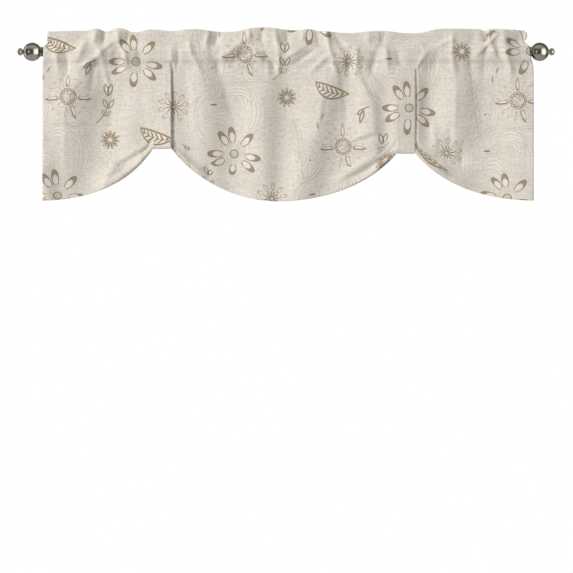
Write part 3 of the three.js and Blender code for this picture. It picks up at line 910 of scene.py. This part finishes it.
def sunburst_ink(uv):
    """A speckled disc in a ring of beads, four long thin petals with a dark lower side, and a fringe of
    slender pale petals between them. The second wire is the light inside the petals."""
    x, z = nearest_copy(uv, SUNBURST)
    out, along, beside = spokes(x, z, SUNBURST_PETALS)
    slim = {"middle": 43, "half_length": 19, "half_width": 5.4, "belly": -0.25}
    petal = almond(along, beside, **slim)
    raised = almond(*spokes(x - 1.2, z - 3.4, SUNBURST_PETALS)[1:], **slim)
    clear = 1 - out.under(26, 2)
    side = (petal.under(1, 0.1) - raised.under(0.9, 0.15) | 0.0) * clear
    rim = abs(petal - 0.86).under(0.16, 0.1) * clear * 0.7
    cells = {"Vector": uv, "Scale": 0.22}
    specks = uv.node("TexVoronoi", {"feature": "F1"}, cells, "Distance").under(0.42, 0.2)
    disc = out.under(16, 2) * (specks * 0.6 + 0.08)
    out, along, beside = around(x, z, count=13)
    beads = abs(length(along - 19.5, beside) - 3.5).under(1.1, 0.7)
    out, along, beside = around(x, z, count=17, turn=7)
    slender = almond(along, beside, middle=42, half_length=14, half_width=3.2, belly=0.2)
    fringe = abs(slender - 0.8).under(0.22, 0.2) * 0.42
    return side | rim | disc | beads | fringe, petal.under(0.8, 0.1) * clear | slender.under(0.7, 0.2)


def daisy_ink(uv):
    """Eleven teardrop petals, dark towards the eye, with a small open ring at each tip."""
    out, along, beside = around(*nearest_copy(uv, DAISY), count=11, turn=90)
    petal = almond(along, beside, middle=15, half_length=10.4, half_width=3.4, belly=0.45).under(1, 0.14)
    spot = length(along - 20.4, beside).under(1.9, 0.9)
    return (petal - spot | 0.0) * (1 - out.under(5, 1.2)) * 0.95


def starburst_ink(uv):
    """Twelve dark rays about a small pale eye, with light between them, in a ring of small loops and dots.
    The second wire is the light."""
    x, z = nearest_copy(uv, STARBURST)
    out, along, beside = around(x, z, count=12, turn=8)
    rays = (abs(beside) - along * 0.03).under(1.1, 0.6) * abs(along - 12).under(8, 2)
    out, along, beside = around(x, z, count=10, turn=12)
    loop = almond(along, beside, middle=32, half_length=8.6, half_width=4.0, belly=0.35)
    loops = abs(loop - 1).under(0.2, 0.16) * 0.66
    dots = length(along - 35, beside).under(1.4, 0.8) * 0.6
    stems = abs(beside).under(0.5, 0.5) * abs(along - 21).under(5, 1) * 0.6
    return rays | loops | dots | stems, out.under(22, 3) | loop.under(0.8, 0.2)


def leaf_ink(uv):
    """A leaf with a brown edge that hangs below its line from end to end, fuller near its stalk, and broad
    arrow veins that point to its tip. The second wire is the light between the veins."""
    x, z = moved(*nearest_copy(uv, LEAF), (0, 0), LEAF_TURN)
    q = x / LEAF_HALF_LENGTH
    fullness = (1 - q * q) * (1 - q * 0.25)
    beside = z + fullness * 13.5
    within = abs(q).under(1, 0.02)
    gap = fullness * 17.5 - abs(beside)
    edge = abs(gap - 0.8).under(2.2, 0.6) * within
    vein = ((x + abs(beside) * 0.9) / 13).math("FRACT")
    inside = (1 - gap.under(4.2, 0.6)) * within
    veins = abs(vein - 0.5).under(0.2, 0.06) * inside
    rib = abs(beside).under(1.0, 0.5) * inside * 0.8
    return edge | veins | rib, inside


def sprig_ink(uv):
    """Three pairs of outlined leaves, each smaller than the one above it, on a stem that runs down into the
    scroll. The second wire is the light inside the leaves."""
    x, z = nearest_copy(uv, SPRIG)
    ink = arc_distance(x, z, (-62, 12), radius=68, bearing=-32, spread=25).under(1.2, 0.6) * 0.85
    light = x * 0.0
    for foot, lean, size in SPRIG_LEAVES:
        beside, along = moved(x, z, foot, lean * -1)
        leaf = pointed(along - 17 * size, beside, 17 * size, 6.6 * size)
        ink = ink | abs(leaf - 0.82).under(0.25, 0.12)
        light = light | leaf.under(0.7, 0.15)
    return ink, light


def mark_ink(uv):
    """The small marks between the flowers: a dash, two dots, two strokes and a twig of two leaves."""
    x, z = nearest_copy(uv, DASHES)
    dash = almond(*moved(x, z, (0, -51)), middle=0, half_length=9.4, half_width=2.5, belly=0.3).under(1, 0.2)
    dots = length(*moved(x, z, (-5, 47))).under(2.6, 0.9) * 0.85
    dots = dots | length(*moved(x, z, (5.8, 47))).under(2.4, 0.9) * 0.45
    x, z = nearest_copy(uv, TWIG)
    slanted = almond(*moved(x, z, (-49, 7), 68), middle=0, half_length=9, half_width=2.3).under(1, 0.25) * 0.8
    upright = almond(*moved(x, z, (-61, -18), 94), middle=0, half_length=9.5, half_width=2.1).under(1, 0.25)
    twig = almond(*moved(x, z, (69, 30), 20), middle=0, half_length=10, half_width=1.7).under(1, 0.25)
    hanging = pointed(*moved(x, z, (57, 7), 75), half_length=20, half_width=6)
    folded = pointed(*moved(x, z, (54, 19), 42), half_length=13, half_width=5.4)
    leaves = abs(hanging - 0.74).under(0.32, 0.1) | abs(folded - 0.76).under(0.32, 0.1)
    return dash | dots | slanted | upright * 0.75 | twig * 0.9 | leaves * 0.95


def end_ink(uv):
    """Two small outlined leaves by themselves at the right end of the heading."""
    x = uv.node("SeparateXYZ", sockets={0: uv})
    ink = x * 0.0
    for middle, turn in END_LEAVES:
        leaf = pointed(*moved(x, x.other("Y"), middle, turn), half_length=14, half_width=4.6)
        ink = ink | abs(leaf - 0.8).under(0.28, 0.1)
    return ink


def strands(x, z, middle, radius, width, bearing, spread, count):
    """Fine lines in a crescent: the gap between its two arcs shrinks as 1 - q^2 from its middle to its ends,
    and the lines share that gap evenly. The second wire is the crescent itself."""
    x, z = moved(x, z, middle, bearing)
    q = z.math("ARCTAN2", x) / math.radians(spread)
    gap = ((1 - q * q) * width | 0.3) / count
    place = (length(x, z) - radius) / gap
    inside = abs(place - count / 2).under(count / 2 + 0.2, 0.15) * abs(q).under(0.99, 0.01)
    line = (abs(place - place.math("ROUND")) * gap).under(1.0, 0.7)
    return line * inside, inside


def scroll_ink(uv):
    """The pale scroll: sweeps of strands, and a tall plume of slender leaves up a stalk, all wandering a
    little as if drawn by hand. The first wire is the lines, the second the light between them."""
    wander = uv.node("TexNoise", sockets={"Vector": uv, "Scale": 0.022, "Detail": 2.5}, output="Color")
    drift = wander.vector("SUBTRACT", (0.5, 0.5, 0.5)).vector("MULTIPLY", (WANDER, WANDER, 0))
    uv = uv.vector("ADD", drift)
    x, z = nearest_copy(uv, SCROLL)
    lines, light = x * 0.0, x * 0.0
    for middle_x, middle_z, *sweep in SWEEPS:
        line, inside = strands(x, z, (middle_x, middle_z), *sweep)
        lines, light = lines | line, light | inside
    along, beside = moved(*nearest_copy(uv, EAR), (0, 0), EAR_TURN)
    staggered = along + beside.under(0, 0.01) * (EAR_PITCH / 2)
    cell = ((staggered / EAR_PITCH).math("FRACT") - 0.5) * EAR_PITCH
    leaf = pointed(*moved(cell, abs(beside), (0, 7.5), 17), half_length=18, half_width=4.6)
    within = abs(along).under(EAR_HALF_LENGTH, 3)
    ear = abs(leaf - 0.85).under(0.26, 0.16) | abs(beside).under(0.9, 0.5)
    fade = wander.other("Fac") * 1.6
    return (lines | ear * within) * (fade + 0.2), light | leaf.under(0.8, 0.1) * within


LINEN_CREAM = (0.9, 0.842, 0.762, 1)
LINEN_SHADE = (0.69, 0.643, 0.566, 1)
INK_BROWN = (0.305, 0.209, 0.114, 1)
INK_PALE = (0.6, 0.555, 0.485, 1)
INK_LIGHT = (0.96, 0.905, 0.82, 1)
PALE_STRENGTH = 0.78
LIGHT_STRENGTH = 0.7
SLUB_CONTRAST = 1.8
MOTTLE_CONTRAST = 1.7
CLOUD_CONTRAST = 0.8
THREAD_PITCH = 0.9
WEAVE_HEIGHT = 0.12


def printed_linen(name):
    """Slubby linen with the print on it: thick and thin threads both ways, ink that sits unevenly on them,
    and a fine raised weave. The ink is as strong as the face's own share of the print."""
    material, wire = new_material(name)
    uv = wire.node("UVMap", {"uv_map": "cloth"})
    share = wire.node("Attribute", {"attribute_name": "print_share"}, output="Fac")
    threads = lambda u, v: {"Vector": uv.vector("MULTIPLY", (u, v, 1)), "Scale": 1.0, "Detail": 3.0}
    weft = wire.node("TexNoise", sockets=threads(0.022, 0.27))
    warp = wire.node("TexNoise", sockets=threads(0.25, 0.018))
    mottle = wire.node("TexNoise", sockets={"Vector": uv, "Scale": 0.13, "Detail": 4.0})
    cloudy = wire.node("TexNoise", sockets={"Vector": uv, "Scale": 0.012, "Detail": 2.0})
    slub = weft * 0.62 + warp * 0.38
    tone = (slub - 0.5) * SLUB_CONTRAST + (mottle - 0.5) * MOTTLE_CONTRAST
    tone = tone + (cloudy - 0.5) * CLOUD_CONTRAST + 0.45
    colour = tone.under(0.5, 0.6).blend(LINEN_CREAM, LINEN_SHADE)
    place = turned_over(uv)
    lines, light = scroll_ink(place)
    petals, inside, rays = flower_ink(place)
    leaf, between = leaf_ink(place)
    burst, shine = sunburst_ink(place)
    stars, glow = starburst_ink(place)
    sprigs, bright = sprig_ink(place)
    light = light * 0.42 | inside * 0.6 | (between | shine | glow | bright) * 0.75
    colour = (light * share * LIGHT_STRENGTH).blend(colour, INK_LIGHT)
    colour = ((lines | rays * 0.6) * share * PALE_STRENGTH).blend(colour, INK_PALE)
    ink = petals | leaf | burst | daisy_ink(place) | stars | sprigs | mark_ink(place) | end_ink(uv)
    covered = ink * share * (1.08 - slub * 0.3)
    colour = covered.blend(colour, INK_BROWN)
    fine = uv.vector("MULTIPLY", (2 * math.pi / THREAD_PITCH, 2 * math.pi / THREAD_PITCH, 0))
    thread = wire.node("SeparateXYZ", sockets={0: fine})
    weave = thread.math("SINE") * thread.other("Y").math("SINE")
    height = slub + weave * WEAVE_HEIGHT
    bump = wire.node("Bump", sockets={"Strength": 0.35, "Distance": 0.0009, "Height": height})
    surface(wire, {
        "Base Color": colour,
        "Roughness": 0.94 - slub * 0.1,
        "Specular IOR Level": 0.2,
        "Sheen Weight": 0.12,
        "Sheen Roughness": 0.5,
        "Normal": bump,
    })
    return material


linen = printed_linen("printed_linen")

stretches = [np.linspace(start, end, count, endpoint=False) for start, end, count in STATIONS]
stations = np.concatenate([*stretches, [RIGHT_EDGE]])
panel_shape = Section(stations)
middle_line = cloth_sections(panel_shape)
depth, height = middle_line[..., 0], middle_line[..., 1]
rows = np.arange(len(middle_line))
first_front = HEM_ROWS + ROLL_ROWS
seam_row = first_front + FRONT_ROWS - 1
foot_row = seam_row + SPLINE_STEPS * FOOT_POINT
top_row = seam_row + SPLINE_STEPS * TOP_POINT
behind_row = top_row + BACK_STEPS * STAND_POINTS
last_row = len(middle_line) - 1
fade_out = 1 - ease(rows, behind_row, behind_row + FADE_ROWS)
crease_share = mix(fade_out, 1, ease(rows, last_row - FADE_ROWS, last_row - FADE_ROWS / 2))
from_straps = np.min([np.abs(stations - strap_x) for strap_x, low in STRAPS.values()], axis=0)
under_strap = 1 - ease(from_straps - STRAP_PRESS, *HELD_BESIDE)
hold_flat = under_strap * (1 - ease(height, *HELD_HEIGHTS))
from_crease = (height - panel_shape.edge - CREASE_OVER_HEM) / CREASE_HALF_WIDTH
over_hem = panel_shape.crease * np.exp(-from_crease**2) * (rows >= first_front)[:, None]
quick, slow, uneven = (stations * wave for wave in TUCK_WAVES)
tucks = np.sin(quick + 2 * np.sin(slow)) * np.sin(uneven)
near_seams = np.exp(-((height - panel_shape.seam) / SEAM_PUCKER_REACH) ** 2)
near_foot = np.exp(-((height - HEADING_FOOT) / FOOT_PUCKER_REACH) ** 2)
near_seams = near_seams + FOOT_PUCKER * near_foot
set_in = creases(stations, height) + PUCKER * tucks * near_seams - over_hem
depth = depth + set_in * crease_share[:, None] * (1 - hold_flat)
panel_grid = np.stack([drawn_in(stations, height), -depth, height], axis=-1)

way = along_rows(panel_grid)
drawn_up = panel_shape.edge - np.minimum(HEM_LOW, SWAG_LOW)
squeezed_from = panel_shape.roll_centre + UNSQUEEZED_PRINT
squeezed_over = np.where(stations < LEFT_STRAP[0], SQUEEZED_AT_LEFT, SQUEEZED_PRINT)
near_edge = 1 - ease(height, squeezed_from, squeezed_from + squeezed_over)
front_height = height - PRINT_DRAWN_UP * drawn_up * near_edge
below = front_height[first_front] - (way[first_front] - way)
above = height[top_row] + way - way[top_row]
flat_height = np.where(rows[:, None] > top_row, above, front_height)
flat_height = np.where(rows[:, None] < first_front, below, flat_height)
ridden = (1 - ease(stations, *TAIL_TO)) * ease(-height, *TAIL_DOWN)
mid_heading = ease(stations, *MIDDLE_FROM) * (1 - ease(stations, *MIDDLE_TO))
near_stem = np.exp(-((stations - STEM_X) / STEM_REACH) ** 2)
sunk = SUNK_LEAF * (1 - ease(stations, *LEAF_TO)) * ease(height, *LEAF_HEIGHTS)
sunk = sunk + SUNK_MIDDLE * mid_heading * ease(height, *MIDDLE_HEIGHTS)
sunk = sunk - LIFTED_STEM * near_stem * ease(height, *STEM_HEIGHTS)
petal_x = (stations - PETAL_PLACE[0]) / PETAL_REACH[0]
petal_z = (height - PETAL_PLACE[1]) / PETAL_REACH[1]
tucked = TUCKED_PETAL * np.exp(-petal_x**2 - petal_z**2)
panel_pattern = np.stack([
    stations + TAIL_SHIFT[0] * ridden,
    flat_height + TAIL_SHIFT[1] * ridden + sunk - tucked,
], axis=-1)
panel = sheet_piece("printed_panel", panel_grid, CLOTH, panel_pattern, linen)
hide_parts("valance_panel")
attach(panel, "root")


# Tie straps
# Flat straps of the same linen, doubled and pressed. Each is sewn into the pocket's lower seam, front and
# back, and passes under the cloth, so it holds the lower edge up. The print lines up with the panel's.
STRAP_ROWS = 74
STRAP_BACK_ROWS = 40
STRAP_ARC_ROWS = 12
STRAP_OFF = (SOLID_CLOTH + STRAP_THICK) / 2 + SEAT_GAP
STRAP_ACROSS = 15
STRAP_BOW = 0.5
STRAP_CRISP_ANGLE = 50


def strap_path(strap_x):
    """Depth and height of a strap's middle: from the pocket's seam down the back, round the roll and up."""
    section = Section(np.array([float(strap_x)]))
    seam, roll_centre = section.seam, section.roll_centre
    back_seam = seam - SEAM_ALLOWANCE
    seam_back = section.front(back_seam) - SEAM_LAYERS - STRAP_OFF
    down = rows_between(back_seam, roll_centre, STRAP_BACK_ROWS)
    up = rows_between(roll_centre, seam - 1, STRAP_ROWS)
    back_depth = np.stack([np.minimum(seam_back, section.back(z) - STRAP_OFF) for z in down])
    front_depth = np.stack([section.front(z) + STRAP_OFF for z in up])
    return np.concatenate([
        np.stack([seam_back, seam], axis=-1)[None],
        np.stack([back_depth, down], axis=-1),
        half_circle(section, section.radius + STRAP_OFF, STRAP_ARC_ROWS + 2)[1:-1],
        np.stack([front_depth, up], axis=-1),
    ])[:, 0]


def strap_outline():
    """The strap's section, doubled cloth pressed flat: across and out from its middle, round both faces."""
    half = STRAP_WIDTH / 2
    turn = np.linspace(np.pi / 2, -np.pi / 2, 5)[1:-1]
    flat = np.linspace(-half + STRAP_THICK / 2, half - STRAP_THICK / 2, STRAP_ACROSS)
    face = np.stack([flat, STRAP_THICK / 2 + STRAP_BOW * (1 - (flat / half) ** 2) - STRAP_BOW], axis=1)
    fold = np.stack([np.cos(turn), np.sin(turn)], axis=1) * STRAP_THICK / 2 + (half - STRAP_THICK / 2, 0)
    under = np.stack([flat[::-1], 0 * flat - STRAP_THICK / 2], axis=1)
    return np.concatenate([face, fold, under, fold[::-1] * (-1, 1)])


strap_section = strap_outline()
straps = []
for node, (strap_x, strap_low) in STRAPS.items():
    path = strap_path(strap_x)
    run = np.gradient(path, axis=0)
    run /= np.linalg.norm(run, axis=1, keepdims=True)
    outward = np.stack([run[:, 1], -run[:, 0]], axis=1)
    beside, off = strap_section.T
    sides = [fold_depth(np.full(len(path), strap_x + side), path[:, 1]) for side in PRESSED]
    turned_by = (sides[1] - sides[0]) / (PRESSED[1] - PRESSED[0])
    strap_points = np.empty((len(path), len(beside), 3))
    strap_points[..., 0] = strap_x + beside
    strap_points[..., 1] = -(path[:, None, 0] + outward[:, None, 0] * off + turned_by[:, None] * beside)
    strap_points[..., 2] = path[:, None, 1] + outward[:, None, 1] * off
    count = len(beside)
    caps = [list(range(count))[::-1], list(range((len(path) - 1) * count, len(path) * count))]
    faces = quads(len(path), count, True).tolist() + caps
    strap = new_piece(node.replace("tie_", "") + "_cloth", strap_points * MM, faces, linen)
    strap.data.set_sharp_from_angle(angle=math.radians(STRAP_CRISP_ANGLE))
    travelled = along_rows(path[:, None])[:, 0]
    lowest = int(np.argmin(path[:, 1]))
    behind = path[lowest, 1] - (travelled[lowest] - travelled)
    flat_z = np.where(np.arange(len(path)) < lowest, behind, path[:, 1])
    pattern = np.stack(np.broadcast_arrays(strap_x + beside, flat_z[:, None]), axis=-1).reshape(-1, 2)
    corners = np.concatenate([np.asarray(face) for face in faces])
    lay_print(strap, pattern, corners, np.ones(len(faces)))
    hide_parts(node)
    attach(strap, "root")
    straps.append(strap)


# Sewing
# Single rows of cream cotton stitches through the cloth: along the heading's foot, the pocket's seam and the
# hem. Each stitch is a short rounded thread that dips into the cloth at both ends.
STITCH_PITCH = 4.2
STITCH_LENGTH = 3.0
THREAD_RADIUS = 0.34
STITCH_SIDES = 6
STITCH_RINGS = 5
STITCH_THIN = 0.35
STITCH_SUNK = 0.4
THREAD_COLOURS = ((0.74, 0.7, 0.62, 1), (0.64, 0.6, 0.53, 1))


def resample(points, pitch):
    """Points at an even pitch along a line through rows of points, each with every column interpolated."""
    way = np.concatenate([[0], np.cumsum(np.linalg.norm(np.diff(points[:, :3], axis=0), axis=1))])
    places = np.arange(pitch / 2, way[-1], pitch)
    return np.stack([np.interp(places, way, column) for column in points.T], axis=1)


def stitch_row(points, normals):
    """Stitches along a line on the cloth: small tubes whose radius and lift follow a half sine."""
    line = resample(np.concatenate([points, normals], axis=1), STITCH_PITCH)
    place, normal = line[:, :3], line[:, 3:]
    run = np.gradient(place, axis=0)
    run /= np.linalg.norm(run, axis=1, keepdims=True)
    side = np.cross(normal, run)
    t = np.linspace(0, 1, STITCH_RINGS)[None, :, None, None]
    turn = np.linspace(0, 2 * np.pi, STITCH_SIDES, endpoint=False)[None, None, :, None]
    swell = STITCH_THIN + (1 - STITCH_THIN) * np.sin(np.pi * t)
    lift = (np.sin(np.pi * t) - STITCH_SUNK) * THREAD_RADIUS + CLOTH / 2
    place, run, side, normal = (v[:, None, None, :] for v in (place, run, side, normal))
    tube = np.cos(turn) * normal + np.sin(turn) * side
    return place + run * (t - 0.5) * STITCH_LENGTH + normal * lift + tube * THREAD_RADIUS * swell


def stitched_piece(name, rows_of_stitches, material):
    """All rows of stitches as one mesh of closed tubes."""
    stitches = np.concatenate(rows_of_stitches)
    count = STITCH_RINGS * STITCH_SIDES
    start = (np.arange(len(stitches)) * count)[:, None, None]
    walls = (quads(STITCH_RINGS, STITCH_SIDES, True) + start).reshape(-1, 4)
    ends = np.stack([np.arange(STITCH_SIDES)[::-1], np.arange(count - STITCH_SIDES, count)])
    caps = (ends + start).reshape(-1, STITCH_SIDES)
    return new_piece(name, stitches * MM, walls.tolist() + caps.tolist(), material)


def at_flat_height(level):
    """Points and directions on the panel where the flat cloth's height is level, at every station."""
    lower = np.argmax(flat_height >= level, axis=0) - 1
    pick = lambda values, row: np.take_along_axis(values, row[None, :, None], 0)[0]
    low, high = (pick(flat_height[..., None], row)[:, 0] for row in (lower, lower + 1))
    share = ((level - low) / (high - low))[:, None]
    both = (panel_grid, panel_normals)
    return [mix(pick(values, lower), pick(values, lower + 1), share) for values in both]


thread, wire = new_material("cotton_thread")
place = wire.node("TexCoord", output="Object")
twist = wire.node("TexNoise", sockets={"Vector": place, "Scale": 2400.0, "Detail": 1.0})
bump = wire.node("Bump", sockets={"Strength": 0.3, "Distance": 0.0002, "Height": twist})
surface(wire, {
    "Base Color": twist.under(0.5, 0.4).blend(*THREAD_COLOURS),
    "Roughness": 0.8,
    "Normal": bump,
})
panel_normals = across(panel_grid)
seams = [stitch_row(panel_grid[row], panel_normals[row]) for row in (seam_row, foot_row)]
hem_line = stitch_row(*at_flat_height(HEM_LOW + HEM))
sewing = stitched_piece("panel_stitches", [*seams, hem_line], thread)
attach(sewing, "root")
